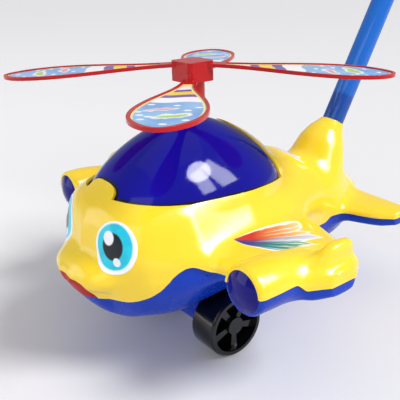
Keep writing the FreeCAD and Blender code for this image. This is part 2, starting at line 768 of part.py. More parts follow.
keep("lay_gear", solid_feature("lay_gear_shape", lay_gear(), Placement(Vector(0, AXLE.y, 0), Rotation())))

rotor_gear_hub = vertical_pin(2.6, 0, 0, spur_low - 0.8, LAY_GEAR_TOP_Z)
rotor_gear_bore = vertical_pin(number("rotor_shaft_radius"), 0, 0, 0, 60)
keep("rotor_gear", solid_feature("rotor_gear_shape", spur(0).fuse(rotor_gear_hub).cut(rotor_gear_bore)))

PIN_HEAD_Z = 24.4
gear_pin = turned_body("lay_pin", [
    (0, 0), (1.8, 0), (1.8, 1.2), (dim("gear_pin_radius"), 1.2),
    (dim("gear_pin_radius"), FRAME_BOTTOM_Z + FRAME_THICKNESS - PIN_HEAD_Z),
    (0, FRAME_BOTTOM_Z + FRAME_THICKNESS - PIN_HEAD_Z),
])
keep("gear_pin", place(gear_pin, 0, dim("axle_y"), PIN_HEAD_Z))

frame_length = FRAME_FRONT_Y - FRAME_BACK_Y + 2 * PAD_DEPTH
plate = box("frame_plate", 2 * FRAME_HALF_WIDTH, frame_length, FRAME_THICKNESS,
            -FRAME_HALF_WIDTH, FRAME_BACK_Y - PAD_DEPTH, FRAME_BOTTOM_Z)
frame_holes = [
    cylinder("frame_shaft_hole", dim("rotor_shaft_radius") + dim("running_clearance"), 10,
             0, 0, FRAME_BOTTOM_Z - 3),
    cylinder("frame_pin_hole", dim("gear_pin_radius"), 10, 0, dim("axle_y"), FRAME_BOTTOM_Z - 3),
]
for index, (x, y) in enumerate(frame_screw_places()):
    frame_holes.append(cylinder(f"frame_screw_hole_{index}", FRAME_SCREW_RADIUS, 10, x, y,
                                FRAME_BOTTOM_Z - 3))
keep("gear_frame", cut("gear_plate", plate, fuse("frame_hole_group", frame_holes)))


def screw(head_radius, head_height, shank_radius, length):
    """A pan-head screw that points up, its head below z = 0."""
    head = Part.makeCylinder(head_radius, head_height, Vector(0, 0, -head_height))
    slot = Part.makeBox(2 * head_radius, 0.8, 0.7, Vector(-head_radius, -0.4, -head_height))
    return head.cut(slot).fuse(Part.makeCylinder(shank_radius, length))


frame_screw = screw(2.2, 1.4, FRAME_SCREW_RADIUS, FRAME_THICKNESS + FRAME_SCREW_BITE)
frame_screw.rotate(Vector(0, 0, 0), Vector(1, 0, 0), 180)
frame_screws = [frame_screw.translated(Vector(x, y, FRAME_BOTTOM_Z + FRAME_THICKNESS))
                for x, y in frame_screw_places()]
keep("gear_frame_screws", solid_feature("gear_frame_screw_group", Part.makeCompound(frame_screws)))

shell_screw = screw(number("screw_head_radius"), 2.0, number("screw_radius"), SHELL_SCREW_LENGTH)
shell_screws = [shell_screw.translated(Vector(side * x, y, head))
                for x, y, head in SHELL_SCREWS for side in (1, -1)]
keep("shell_screws", solid_feature("shell_screw_group", Part.makeCompound(shell_screws)))

# ---------------------------------------------------------------- rotor

upper_hub_z = number("lower_hub_z") + number("hub_height")
rotor_top_z = upper_hub_z + number("hub_height")
shaft_bottom_z = number("spur_bottom_z") - 1.6
SHAFT_CAP = 2.0
rotor_shaft = cylinder("rotor_rod", dim("rotor_shaft_radius"), rotor_top_z - SHAFT_CAP - shaft_bottom_z,
                       0, 0, shaft_bottom_z)
keep("rotor_shaft", rotor_shaft)


def blade_face(inset=0.0):
    """The teardrop outline of one blade, which points along +X."""
    radius, half_chord = number("rotor_radius"), number("blade_chord") / 2
    side = [Vector(share * (radius - inset), half * half_chord - inset, 0) for share, half in BLADE]
    if inset:
        side = [point for point in side if point.x > number("hub_width") * 0.8]
    tip = [Vector(radius - inset, 0, 0)]
    other = [Vector(point.x, -point.y, 0) for point in reversed(side)]
    curve = Part.BSplineCurve()
    curve.interpolate(side + tip + other)
    root = Part.makeLine(other[-1], side[0])
    return Part.Face(Part.Wire([curve.toShape(), root]))


def blade(droop):
    """A thin plate with a raised rim all round; droop tips the end down."""
    plate_shape = blade_face().extrude(Vector(0, 0, number("blade_plate")))
    rim = blade_face().cut(blade_face(number("rim_width"))).extrude(Vector(0, 0, number("rim_height")))
    shape = plate_shape.fuse(rim)
    shape.rotate(Vector(10, 0, 0), Vector(0, 1, 0), droop)
    return shape


def blade_sticker(droop):
    """A printed label that fills the blade inside its rim."""
    shape = blade_face(number("rim_width") + 0.15).extrude(Vector(0, 0, number("sticker_thickness")))
    shape.translate(Vector(0, 0, number("blade_plate")))
    shape.rotate(Vector(10, 0, 0), Vector(0, 1, 0), droop)
    return shape


def turned_pair(make, droop, angle, z):
    pair = []
    for half_turn in (0, 180):
        shape = make(droop)
        shape.rotate(Vector(0, 0, 0), Vector(0, 0, 1), angle + half_turn)
        shape.translate(Vector(0, 0, z))
        pair.append(shape)
    return pair


def rotor_layer(z, blade_z, angle, droop):
    """One two-bladed rotor: a square hub with rounded corners, which the blades leave by."""
    width, height = number("hub_width"), number("hub_height")
    hub = Part.makeBox(width, width, height, Vector(-width / 2, -width / 2, 0))
    upright = [edge for edge in hub.Edges if abs(edge.tangentAt(edge.FirstParameter).z) > 0.9]
    hub = hub.makeFillet(number("hub_corner"), upright)
    hub.rotate(Vector(0, 0, 0), Vector(0, 0, 1), angle + 45)
    hub.translate(Vector(0, 0, z))
    return hub.fuse(turned_pair(blade, droop, angle, blade_z))


low_z = number("lower_hub_z")
upper_blade_z = upper_hub_z + number("upper_blade_lift")
first_angle = number("first_blade_angle")
shaft_bore = vertical_pin(number("rotor_shaft_radius"), 0, 0, 0, rotor_top_z - SHAFT_CAP)
mast = vertical_pin(number("mast_radius"), 0, 0, number("mast_bottom_z"), low_z + 1)
lower_rotor = rotor_layer(low_z, low_z, first_angle + 90, 0).fuse(mast).cut(shaft_bore)
upper_rotor = rotor_layer(upper_hub_z, upper_blade_z, first_angle, number("droop_angle")).cut(shaft_bore)
keep("rotor_lower", solid_feature("lower_blades", lower_rotor))
keep("rotor_upper", solid_feature("upper_blades", upper_rotor))

lower_labels = turned_pair(blade_sticker, 0, first_angle + 90, low_z)
upper_labels = turned_pair(blade_sticker, number("droop_angle"), first_angle, upper_blade_z)
keep("rotor_labels_lower", solid_feature("lower_label_pair", Part.makeCompound(lower_labels)))
keep("rotor_labels_upper", solid_feature("upper_label_pair", Part.makeCompound(upper_labels)))

# ---------------------------------------------------------------- stick

COLLAR = 2.0
PLUG_REACH = 22.0


def on_stick(item, distance):
    item.Placement = stick_frame(distance)
    return item


def stick_tube(label, start):
    body = turned_body(label, [
        (dim("stick_bore_radius"), 0), (dim("stick_radius"), 0),
        (dim("stick_radius"), dim("stick_section")), (dim("stick_bore_radius"), dim("stick_section"))])
    return keep(label, on_stick(body, start))


lower_start = -number("stick_socket_depth")
joint_at = lower_start + number("stick_section")
stick_tube("stick_lower", lower_start)
stick_tube("stick_upper", joint_at + COLLAR)

base_plug = bind(doc.addObject("Part::Cylinder", "base_plug"), Radius=dim("stick_bore_radius"),
                 Height=dim("plug_below_boss") + dim("plug_above_boss"))
keep("stick_base_plug", on_stick(base_plug, -number("plug_below_boss")))

bore, outer = dim("stick_bore_radius"), dim("stick_radius")
joint_plug = turned_body("joint_plug", [
    (0, 0), (bore, 0), (bore, PLUG_REACH), (outer, PLUG_REACH), (outer, PLUG_REACH + COLLAR),
    (bore, PLUG_REACH + COLLAR), (bore, 2 * PLUG_REACH + COLLAR), (0, 2 * PLUG_REACH + COLLAR)])
keep("stick_joint_plug", on_stick(joint_plug, joint_at - PLUG_REACH))

GRIP_OVERLAP = 40.0
grip_radius, grip_length = dim("grip_radius"), dim("grip_length")
grip = turned_body("grip", [
    (outer, 0), (grip_radius - 1.2, 0), (grip_radius, 2), (grip_radius, grip_length - 8),
    (grip_radius - 1, grip_length - 4), (grip_radius - 3.6, grip_length - 1),
    (grip_radius - 7, grip_length),
    (0, grip_length), (0, GRIP_OVERLAP), (outer, GRIP_OVERLAP)])
stick_end = joint_at + COLLAR + number("stick_section")
keep("stick_grip", on_stick(grip, stick_end - GRIP_OVERLAP))

# ---------------------------------------------------------------- checks and files

doc.recompute()
for item in doc.Objects:
    if "Invalid" in item.State or "Error" in item.State:
        raise RuntimeError(f"{item.Name} failed to build: {item.State}")
for label, item in kept.items():
    if item.Shape.isNull() or not item.Shape.isValid() or not item.Shape.Solids:
        raise RuntimeError(f"{label} has no valid solid")

os.makedirs("parts", exist_ok=True)
for label, item in kept.items():
    item.Shape.exportStep(f"parts/{label}.step")
    print(f"{label:22s} solids {len(item.Shape.Solids)}  volume {item.Shape.Volume:10.1f} mm3")
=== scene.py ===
"""Looks for a push-along toy aeroplane: moulded shells, canopy, stickers, wheels, stick and rotor."""
import math

import bpy
import numpy as np
from mathutils import Matrix, Vector


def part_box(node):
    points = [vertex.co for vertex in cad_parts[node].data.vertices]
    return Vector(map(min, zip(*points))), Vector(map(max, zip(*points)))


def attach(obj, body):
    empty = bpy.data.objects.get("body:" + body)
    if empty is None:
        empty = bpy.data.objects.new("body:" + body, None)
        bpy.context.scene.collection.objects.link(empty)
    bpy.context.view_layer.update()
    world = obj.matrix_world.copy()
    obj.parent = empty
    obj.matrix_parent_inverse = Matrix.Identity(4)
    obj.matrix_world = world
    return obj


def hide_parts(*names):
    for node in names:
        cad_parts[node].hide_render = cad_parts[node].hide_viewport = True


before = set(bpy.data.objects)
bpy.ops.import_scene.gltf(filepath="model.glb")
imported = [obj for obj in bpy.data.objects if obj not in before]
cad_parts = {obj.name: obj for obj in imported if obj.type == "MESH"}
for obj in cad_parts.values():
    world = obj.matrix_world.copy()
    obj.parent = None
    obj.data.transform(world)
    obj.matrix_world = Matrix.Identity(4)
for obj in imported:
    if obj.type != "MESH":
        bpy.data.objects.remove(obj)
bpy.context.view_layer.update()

MM = 0.001
CELL = 1.5    # grid cell of the shells' meshes, in mm
GAP = 0.12                           # half the gap between the two shells, in mm


# ---------------------------------------------------------------- camera and light

EYE = Vector((0.28701, -0.21523, 0.22922))
AZIMUTH, ELEVATION, ROLL = math.radians(52.77), math.radians(21.67), math.radians(-1.62)
LENS = 54.98
AIM = Vector((0, 0, 0.08))


def make_camera():
    back = Vector((math.sin(AZIMUTH) * math.cos(ELEVATION), -math.cos(AZIMUTH) * math.cos(ELEVATION),
                   math.sin(ELEVATION)))
    level = Vector((math.cos(AZIMUTH), math.sin(AZIMUTH), 0))
    upright = back.cross(level)
    right = math.cos(ROLL) * level + math.sin(ROLL) * upright
    data = bpy.data.cameras.new("camera")
    data.lens, data.clip_start, data.clip_end = LENS, 0.01, 100
    camera = bpy.data.objects.new("camera", data)
    turn = Matrix((right, back.cross(right), back)).transposed()
    camera.matrix_world = Matrix.Translation(EYE) @ turn.to_4x4()
    bpy.context.scene.collection.objects.link(camera)
    bpy.context.scene.camera = camera


def add_light(name, kind, power, direction):
    """A light that shines along a direction, linked to the scene."""
    light = bpy.data.objects.new(name, bpy.data.lights.new(name, kind))
    light.data.energy = power
    light.rotation_euler = Vector(direction).to_track_quat("-Z", "Y").to_euler()
    bpy.context.scene.collection.objects.link(light)
    return light


def area_light(name, place, size, power, colour=(1, 1, 1), mirrored_only=False):
    """A rectangle of light aimed at the toy. A mirrored-only one adds reflections but no diffuse light."""
    light = add_light(name, "AREA", power, AIM - Vector(place))
    light.data.shape, light.data.size, light.data.size_y = "RECTANGLE", *size
    light.data.color = colour
    light.location = place
    light.visible_diffuse = not mirrored_only


def make_light():
    world = bpy.data.worlds.new("studio")
    bpy.context.scene.world = world
    world.use_nodes = True
    background = world.node_tree.nodes["Background"]
    background.inputs["Color"].default_value = (0.975, 0.975, 1.0, 1)
    background.inputs["Strength"].default_value = 0.43
    pane = (0.34, 0.9)
    area_light("window_left_pane", (1.35, 0.62, 1.15), pane, 14, mirrored_only=True)
    area_light("window_right_pane", (1.13, 0.98, 1.15), pane, 14, mirrored_only=True)
    area_light("overhead", (0.0, 0.1, 1.7), (1.6, 1.6), 2)
    area_light("front_fill", (0.9, -1.5, 0.9), (1.2, 1.2), 6, (1, 0.98, 0.95))
    area_light("left_fill", (-1.0, -1.5, 0.5), (1.2, 1.2), 8)
    add_light("daylight", "SUN", 2.5, (-1.24, -0.7, -1.5)).data.angle = math.radians(20)
    bpy.context.scene.view_settings.view_transform = "Standard"


def make_floor():
    bpy.ops.mesh.primitive_circle_add(vertices=96, radius=9, fill_type="NGON")
    floor = bpy.context.object
    floor.name = "floor"
    cloth = Shader("pale_cloth", (0.78, 0.78, 0.795), 0.85)
    cloth.bump([cloth.noise(900, 3)], strength=0.15, distance=0.0006)
    floor.data.materials.append(cloth.material)


# ---------------------------------------------------------------- materials

def paint(red, green, blue):
    """A screen colour as the linear values that shaders work in."""
    return tuple(c / 12.92 if c <= 0.04045 else ((c + 0.055) / 1.055) ** 2.4
                 for c in (red / 255, green / 255, blue / 255))


class Shader:
    """One material's node tree, with short calls for the nodes that the materials share."""

    def __init__(self, name, colour, roughness, **sockets):
        self.material = bpy.data.materials.new(name)
        self.material.use_nodes = True
        self.tree = self.material.node_tree
        self.surface = self.tree.nodes["Principled BSDF"]
        self.put(self.surface.inputs["Base Color"], colour)
        self.put(self.surface.inputs["Roughness"], roughness)
        for socket, value in sockets.items():
            self.put(self.surface.inputs[socket.replace("_", " ")], value)

    def put(self, socket, value):
        if isinstance(value, bpy.types.NodeSocket):
            self.tree.links.new(value, socket)
        elif isinstance(value, tuple) and len(value) == 3 and len(socket.default_value) == 4:
            socket.default_value = (*value, 1)
        else:
            socket.default_value = value

    def node(self, kind, **settings):
        node = self.tree.nodes.new(kind)
        for name, value in settings.items():
            setattr(node, name, value)
        return node

    def math(self, operation, first, second=0.0, clamp=False):
        node = self.node("ShaderNodeMath", operation=operation, use_clamp=clamp)
        self.put(node.inputs[0], first)
        self.put(node.inputs[1], second)
        return node.outputs[0]

    def mix(self, share, first, second):
        node = self.node("ShaderNodeMix", data_type="RGBA")
        for index, value in ((0, share), (6, first), (7, second)):
            self.put(node.inputs[index], value)
        return node.outputs[2]

    def place(self):
        """The point's coordinates in the part's own frame."""
        return self.node("ShaderNodeTexCoord").outputs["Object"]

    def sheet(self):
        """The point's coordinates on a sticker."""
        return self.node("ShaderNodeTexCoord").outputs["UV"]

    def parts(self, vector):
        node = self.node("ShaderNodeSeparateXYZ")
        self.put(node.inputs[0], vector)
        return node.outputs

    def noise(self, scale, detail=2.0, distortion=0.0):
        node = self.node("ShaderNodeTexNoise")
        self.put(node.inputs["Vector"], self.place())
        self.put(node.inputs["Scale"], float(scale))
        self.put(node.inputs["Detail"], float(detail))
        self.put(node.inputs["Distortion"], distortion)
        return node.outputs["Fac"]

    def range(self, value, low, high, to_low=0.0, to_high=1.0):
        node = self.node("ShaderNodeMapRange")
        for index, number in enumerate((value, low, high, to_low, to_high)):
            self.put(node.inputs[index], number)
        return node.outputs[0]

    def band(self, value, low, high, soft):
        """One between low and high, and zero outside, with soft edges."""
        rising = self.range(value, low - soft, low + soft)
        falling = self.range(value, high - soft, high + soft, 1.0, 0.0)
        return self.math("MULTIPLY", rising, falling)

    def spot(self, across, along, middle, radii, soft):
        """One inside an ellipse, and zero outside."""
        first = self.math("DIVIDE", self.math("SUBTRACT", across, middle[0]), radii[0])
        second = self.math("DIVIDE", self.math("SUBTRACT", along, middle[1]), radii[1])
        total = self.math("ADD", self.math("MULTIPLY", first, first), self.math("MULTIPLY", second, second))
        return self.range(self.math("SQRT", total), 1 - soft, 1 + soft, 1.0, 0.0)

    def colour(self, value):
        self.put(self.surface.inputs["Base Color"], value)

    def bump(self, heights, strength, distance):
        """Small relief: each height field adds to the one before it."""
        normal = None
        for height in heights:
            node = self.node("ShaderNodeBump")
            node.inputs["Strength"].default_value = strength
            node.inputs["Distance"].default_value = distance
            self.put(node.inputs["Height"], height)
            if normal:
                self.put(node.inputs["Normal"], normal)
            normal = node.outputs[0]
        self.put(self.surface.inputs["Normal"], normal)


def moulded(name, light, dark, roughness, ripple=0.25, **sockets):
    """Glossy moulded plastic: slow colour drift, sink ripples, fine handling marks in the gloss."""
    shader = Shader(name, light, roughness[0], **sockets)
    drift = shader.range(shader.noise(16, 2), 0.35, 0.65)
    shader.colour(shader.mix(drift, light, dark))
    marks = shader.range(shader.noise(260, 4, distortion=0.6), 0.42, 0.75, roughness[0], roughness[1])
    shader.put(shader.surface.inputs["Roughness"], marks)
    shader.bump([shader.noise(38, 1.5), shader.noise(1700, 2)], ripple, 0.00012)
    return shader


def make_materials():
    made = {}
    made["yellow"] = moulded("yellow_plastic", paint(255, 222, 48), paint(253, 214, 36), (0.18, 0.26),
                             Subsurface_Weight=0.12, Subsurface_Scale=0.004, Coat_Weight=0.25,
                             Coat_Roughness=0.08)
    made["blue"] = moulded("blue_plastic", paint(10, 62, 190), paint(8, 54, 176), (0.24, 0.3), 0.15,
                           Coat_Weight=0.1, Coat_Roughness=0.1, Specular_IOR_Level=0.18)
    made["canopy"] = moulded("canopy_tint", paint(16, 13, 156), paint(11, 8, 132), (0.06, 0.1), 0.1,
                             Coat_Weight=0.2, Coat_Roughness=0.03, Specular_IOR_Level=0.15)
    made["lens"] = moulded("lens_tint", paint(20, 10, 134), paint(13, 7, 112), (0.06, 0.1), 0.1,
                           Coat_Weight=0.2, Coat_Roughness=0.03, Specular_IOR_Level=0.12)
    made["red"] = moulded("red_trim", paint(192, 9, 13), paint(174, 5, 9), (0.2, 0.28),
                          Coat_Weight=0.15, Coat_Roughness=0.08, Specular_IOR_Level=0.25)
    made["lips"] = moulded("lip_red", paint(186, 3, 8), paint(166, 2, 6), (0.22, 0.28),
                           Specular_IOR_Level=0.12)
    made["black"] = moulded("black_plastic", paint(12, 12, 14), paint(8, 8, 10), (0.14, 0.22), 0.3,
                            Coat_Weight=0.25, Coat_Roughness=0.06, Specular_IOR_Level=0.3)
    made["tube"] = tube_plastic()
    made["plug"] = moulded("plug_plastic", paint(8, 40, 140), paint(6, 34, 126), (0.3, 0.45))
    made["gear"] = moulded("gear_plastic", paint(232, 230, 222), paint(222, 220, 210), (0.35, 0.5))
    made["steel"] = steel()
    made["eye"] = eye_print()
    made["flame"] = flame_print("flame_print", ((200, 56, 44), (240, 140, 60), (250, 224, 140)),
                                ((130, 60, 110), (176, 190, 214), (214, 226, 248)),
                                ((56, 66, 140), (28, 136, 140), (104, 180, 96)), 0.85)
    made["spine"] = flame_print("spine_print", ((150, 120, 190), (206, 190, 230), (238, 226, 240)),
                                ((160, 140, 200), (214, 206, 236), (240, 236, 246)),
                                ((190, 130, 150), (230, 196, 206), (244, 226, 226)), 0.5)
    for blades, azimuth in (("lower", 135.3), ("upper", 45.3)):
        made["label_" + blades] = blade_print("blade_print_" + blades, azimuth)
    return made


def tube_plastic():
    """The stick's clear blue tube, darker where the plug fills it above the boss."""
    light, dark = paint(30, 126, 232), paint(20, 90, 200)
    shader = moulded("stick_tube", light, light, (0.12, 0.2), 0.12, Transmission_Weight=0.35, IOR=1.46)
    y, z = shader.parts(shader.place())[1:]
    along = shader.math("ADD", shader.math("MULTIPLY", y, math.sin(STICK_LEAN)),
                        shader.math("MULTIPLY", z, math.cos(STICK_LEAN)))
    plug_top = float(STICK_BASE @ STICK_UP) * MM + 0.02
    above = shader.range(along, plug_top - 0.0015, plug_top + 0.0015)
    drift = shader.range(shader.noise(16, 2), 0.35, 0.65, 0.0, 0.18)
    shader.colour(shader.mix(shader.math("SUBTRACT", above, drift, clamp=True), dark, light))
    return shader


def steel():
    shader = Shader("bright_steel", (0.62, 0.62, 0.64), 0.3, Metallic=1.0)
    shader.put(shader.surface.inputs["Roughness"], shader.range(shader.noise(420, 3), 0.3, 0.7, 0.22, 0.4))
    shader.bump([shader.noise(2200, 2)], 0.15, 0.00005)
    return shader


def print_film(name, roughness=0.3):
    """A printed sticker's glossy film; its picture goes in as the colour."""
    shader = Shader(name, (1, 1, 1), roughness, Coat_Weight=0.12, Coat_Roughness=0.12, Specular_IOR_Level=0.3)
    shader.bump([shader.noise(900, 2)], 0.1, 0.00008)
    return shader


def eye_print():
    """A round cartoon eye: white edge, cyan ring, dark middle and two white glints."""
    shader = print_film("eye_print", 0.28)
    across, up = shader.parts(shader.sheet())[:2]
    across = shader.math("SUBTRACT", shader.math("MULTIPLY", across, 2.0), 1.0)
    up = shader.math("SUBTRACT", shader.math("MULTIPLY", up, 2.0), 1.0)
    cyan = shader.mix(shader.range(shader.noise(150, 3), 0.4, 0.6), paint(38, 212, 236), paint(30, 198, 228))
    spots = (
        ((-0.03, 0.04), (0.855, 0.88), 0.035, cyan),
        ((-0.08, 0.05), (0.5, 0.53), 0.06, paint(14, 26, 34)),
        ((-0.29, 0.35), (0.25, 0.27), 0.1, paint(248, 248, 255)),
        ((0.16, -0.5), (0.18, 0.17), 0.12, paint(240, 248, 255)),
    )
    picture = paint(250, 252, 255)
    for middle, radii, soft, tint in spots:
        picture = shader.mix(shader.spot(across, up, middle, radii, soft), picture, tint)
    shader.colour(picture)
    return shader


def flame_print(name, hot, middle, cool, gap_share):
    """A fan of feathered streaks: hot colours on one side, cool ones on the other, on a white ground."""
    shader = print_film(name)
    along, fan = shader.parts(shader.sheet())[:2]
    waver = shader.math("MULTIPLY", shader.math("SUBTRACT", shader.noise(120, 2), 0.5), 0.08)
    fan = shader.math("ADD", fan, waver)
    picture = None
    for start, stops in ((0.0, hot), (0.44, middle), (0.60, cool)):
        streak = paint(*stops[0])
        for place, tint in zip((0.42, 0.78), stops[1:]):
            streak = shader.mix(shader.range(along, place - 0.16, place + 0.16), streak, paint(*tint))
        share = shader.range(fan, start - 0.03, start + 0.03)
        picture = shader.mix(share, picture, streak) if picture else streak
    streaks = shader.math("SINE", shader.math("MULTIPLY", fan, 50.0))
    gaps = shader.math("MULTIPLY", shader.range(streaks, 0.45, 0.9), shader.range(along, 0.4, 0.8))
    picture = shader.mix(shader.math("MULTIPLY", gaps, gap_share), picture, paint(250, 250, 250))
    sides = shader.math("SUBTRACT", 1.0, shader.band(fan, 0.045, 0.955, 0.015))
    edge = shader.math("MAXIMUM", sides, shader.range(along, 0.94, 0.97))
    picture = shader.mix(edge, picture, paint(252, 250, 236))
    shader.colour(picture)
    return shader


BLADE_LENGTH, BLADE_HALF_CHORD = 0.115, 0.01875
# Half chord along a blade, as shares: the curve's two ends come first.
BLADE_OUTLINE = ((0.0, 0.24), (1.0, 0.0), (0.17, 0.24), (0.30, 0.37), (0.45, 0.66), (0.60, 0.91),
                 (0.73, 1.0), (0.86, 0.88), (0.95, 0.56))


def blade_half_width(shader, along):
    """The blade's half chord at a distance from the hub."""
    outline = shader.node("ShaderNodeFloatCurve")
    points = outline.mapping.curves[0].points
    for index, (far, half) in enumerate(BLADE_OUTLINE):
        if index < 2:
            points[index].location = (far, half)
        else:
            points.new(far, half)
    outline.mapping.update()
    shader.put(outline.inputs["Value"], shader.math("DIVIDE", along, BLADE_LENGTH))
    return shader.math("MULTIPLY", outline.outputs[0], BLADE_HALF_CHORD)


def blade_print(name, azimuth):
    """A blade's label: stripes at the root, then a sky-blue field with white dots and two lozenges."""
    shader = print_film(name)
    turn = math.radians(azimuth)
    x, y = shader.parts(shader.place())[:2]
    along = shader.math("ADD", shader.math("MULTIPLY", x, math.cos(turn)),
                        shader.math("MULTIPLY", y, math.sin(turn)))
    across = shader.math("SUBTRACT", shader.math("MULTIPLY", y, math.cos(turn)),
                         shader.math("MULTIPLY", x, math.sin(turn)))
    across = shader.math("MULTIPLY", across, shader.math("SIGN", along))
    along = shader.math("ABSOLUTE", along)
    waver = shader.math("MULTIPLY", shader.math("SINE", shader.math("MULTIPLY", across, 260.0)), 0.0012)
    bands = shader.math("ADD", along, waver)
    cloudy = shader.range(shader.noise(60, 3), 0.35, 0.65)
    picture = shader.mix(cloudy, paint(150, 196, 238), paint(118, 170, 224))
    stripes = (
        (0.0, 0.025, paint(250, 232, 120)), (0.025, 0.034, paint(252, 250, 250)),
        (0.034, 0.039, paint(98, 84, 168)), (0.039, 0.047, paint(246, 222, 70)),
        (0.047, 0.053, paint(104, 92, 172)), (0.053, 0.064, paint(250, 250, 253)),
    )
    for start, end, tint in stripes:
        picture = shader.mix(shader.band(bands, start, end, 0.0003), picture, tint)
    dots = ((0.069, -0.011), (0.075, 0.013), (0.084, -0.0145), (0.09, -0.0125), (0.093, -0.008),
            (0.099, 0.010), (0.071, 0.002), (0.106, 0.001), (0.098, -0.0105), (0.081, 0.0085))
    for far, side in dots:
        dot = shader.spot(along, across, (far, side), (0.0013, 0.0019), 0.2)
        picture = shader.mix(dot, picture, paint(246, 252, 255))
    wobble = shader.math("MULTIPLY", shader.math("SUBTRACT", shader.noise(150, 2), 0.5), 0.007)
    tilted = shader.math("ADD", shader.math("ADD", along, wobble), shader.math("MULTIPLY", across, 0.3))
    lozenges = (
        ((0.0775, -0.0045), (0.0032, 0.0085), paint(250, 240, 244), paint(232, 160, 170)),
        ((0.0925, 0.0025), (0.0044, 0.0092), paint(248, 248, 236), paint(176, 212, 110)),
    )
    for middle, radii, edge, core in lozenges:
        picture = shader.mix(shader.spot(tilted, across, middle, radii, 0.08), picture, edge)
        inner = (radii[0] * 0.6, radii[1] * 0.78)
        picture = shader.mix(shader.spot(tilted, across, middle, inner, 0.15), picture, core)
    inside = shader.math("SUBTRACT", blade_half_width(shader, along), shader.math("ABSOLUTE", across))
    inside = shader.math("MINIMUM", inside, shader.math("SUBTRACT", BLADE_LENGTH, along))
    border = shader.range(inside, 0.0029, 0.0033, 1.0, 0.0)
    picture = shader.mix(border, picture, paint(250, 238, 176))
    shader.colour(picture)
    return shader


# ---------------------------------------------------------------- fields that shape the body, in mm

# Fuselage stations: y, half width, height of the widest line, rise above it, drop below it.
FUSELAGE = np.array((
    (-91.2, 4.0, 67.0, 3.0, 3.5),
    (-89.2, 10.5, 67.0, 9.0, 9.0),
    (-85.8, 18.0, 67.0, 18.0, 15.5),
    (-81.0, 24.5, 67.3, 27.0, 21.8),
    (-74.5, 32.0, 68.0, 36.0, 29.0),
    (-63.0, 41.0, 69.0, 42.0, 36.0),
    (-35.0, 51.0, 71.0, 46.0, 41.5),
    (0.0, 51.0, 72.0, 45.0, 40.5),
    (35.0, 43.0, 71.0, 39.0, 38.0),
    (70.0, 32.0, 68.0, 34.0, 35.0),
    (100.0, 25.5, 65.5, 28.0, 33.5),
    (116.0, 22.0, 64.0, 23.5, 30.0),
    (131.0, 17.0, 62.0, 18.5, 21.0),
    (140.0, 11.0, 61.0, 12.5, 12.0),
    (147.0, 3.0, 60.0, 5.0, 4.0),
))
FULLNESS_ABOVE = ((-96.0, 2.1), (-75.0, 2.3), (-35.0, 2.8), (0.0, 2.8), (40.0, 2.4), (150.0, 2.1))
FULLNESS_BELOW = ((-96.0, 2.3), (0.0, 2.3), (60.0, 2.6), (95.0, 4.0), (150.0, 3.5))

# Stations along a wing and a tail fin: x, leading edge y, trailing edge y, middle height, half thickness.
WING = np.array((
    (30.0, -38.0, 53.0, 74.4, 10.0), (60.0, -36.0, 46.0, 74.4, 8.8), (92.0, -24.0, 34.0, 74.2, 8.0),
    (106.0, -15.0, 27.0, 74.0, 7.4), (113.5, -3.0, 17.0, 74.8, 6.2),
))
TAIL_FIN = np.array((
    (8.0, 97.0, 147.0, 58.0, 7.2), (30.0, 107.0, 146.0, 57.2, 6.6), (52.0, 116.0, 145.0, 57.2, 5.7),
    (61.0, 124.0, 139.0, 57.6, 4.6),
))

# Pod outline: distance behind the rim, radius. Boss outline: depth below the mouth, radius, forward shift.
POD = ((0.0, 12.8), (3.0, 13.8), (11.0, 13.9), (27.0, 12.3), (47.0, 8.5), (67.0, 2.0))
BOSS = ((0.0, 8.0, 0.2), (1.2, 8.9, 0.5), (3.0, 9.7, 0.9), (9.0, 12.9, 2.4), (17.0, 16.6, 2.2),
        (24.0, 18.8, 1.2), (31.0, 20.8, 0.2), (45.0, 23.0, 0.0), (60.0, 25.0, 0.0))

# Seam between the shells along the fuselage: y, z.
SEAM = ((-110.0, 58.5), (-92.0, 57.0), (-85.0, 55.0), (-79.0, 53.8), (-73.0, 54.2), (-65.5, 58.3),
        (-60.0, 62.8), (-57.0, 67.0), (-54.0, 70.8), (-51.0, 73.8), (-47.5, 76.0), (-43.0, 77.3),
        (-36.0, 77.5), (20.0, 77.0), (36.0, 75.5), (50.0, 70.0), (62.0, 60.0), (76.0, 54.6),
        (108.0, 54.0), (160.0, 54.0))
WING_SEAM_Z = 73.4
POD_SEAM_Z = 78.2
FIN_SEAM_Z = 57.6

# Edge of the yellow collar around the canopy: y, z along its sides, and z, y where the spine covers its back.
CANOPY_EDGE = ((-75.0, 109.5), (-65.0, 108.7), (-58.0, 107.3), (-49.0, 106.2), (-39.0, 105.6),
               (-28.0, 105.4), (-8.0, 104.6), (18.5, 102.8), (44.0, 100.2), (60.0, 98.6))
SPINE_EDGE = ((90.0, 45.0), (100.0, 44.2), (109.6, 41.6), (116.5, 37.1), (122.9, 32.6), (128.0, 28.5),
              (134.0, 22.5), (142.0, 13.0))



def middle_of(name):
    """The middle of a CAD node's box, in mm."""
    low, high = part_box(name)
    return (np.array(low) + np.array(high)) / 2 / MM


POD_X, POD_Z = middle_of("engine_lens_port")[[0, 2]]
POD_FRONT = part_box("engine_lens_port")[0][1] / MM + 3.0
AXLE_Y, AXLE_Z = middle_of("axle")[1:]
TAIL_Y, TAIL_Z = middle_of("tail_wheel")[1:]
STICK_LEAN = math.radians(30.6)
STICK_UP = np.array((0.0, math.sin(STICK_LEAN), math.cos(STICK_LEAN)))
STICK_BASE = np.array((0.0, 126.5, 115.5))
CANOPY_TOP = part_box("canopy")[1][2] / MM
CANOPY_BASE = 99.0
CANOPY_HALF_WIDTH, CANOPY_HALF_LENGTH, CANOPY_Y = 43.5, 64.0, -7.0


